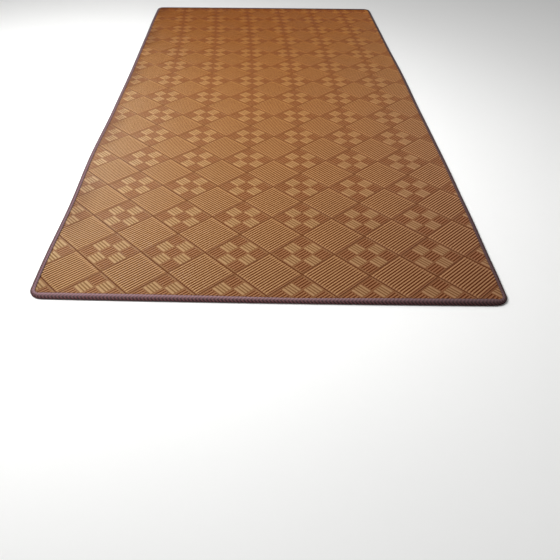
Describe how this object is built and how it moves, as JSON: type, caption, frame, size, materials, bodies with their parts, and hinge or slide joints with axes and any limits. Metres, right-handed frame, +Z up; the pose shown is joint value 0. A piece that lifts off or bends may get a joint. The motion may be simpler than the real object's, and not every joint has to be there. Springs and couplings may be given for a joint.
{
  "type": "bamboo sleeping mat",
  "caption": "Long flat woven cane-strip mat with rounded corners and a folded tape binding on its whole edge, to lie or sit on.",
  "frame": {"origin": "under the middle of the mat, on the surface that it lies on", "axes": "+X across the mat, +Y along it, away from the viewer of the picture, +Z up"},
  "size_m": [0.9124, 1.893, 0.005],
  "materials": {
    "woven_rattan": "satin woven cane strip in light tan and dark brown",
    "binding_tape": "matt herringbone tape in purple brown"
  },
  "bodies": {
    "root": {"woven_panel": "woven_rattan", "edge_binding": "binding_tape"}
  },
  "joints": []
}
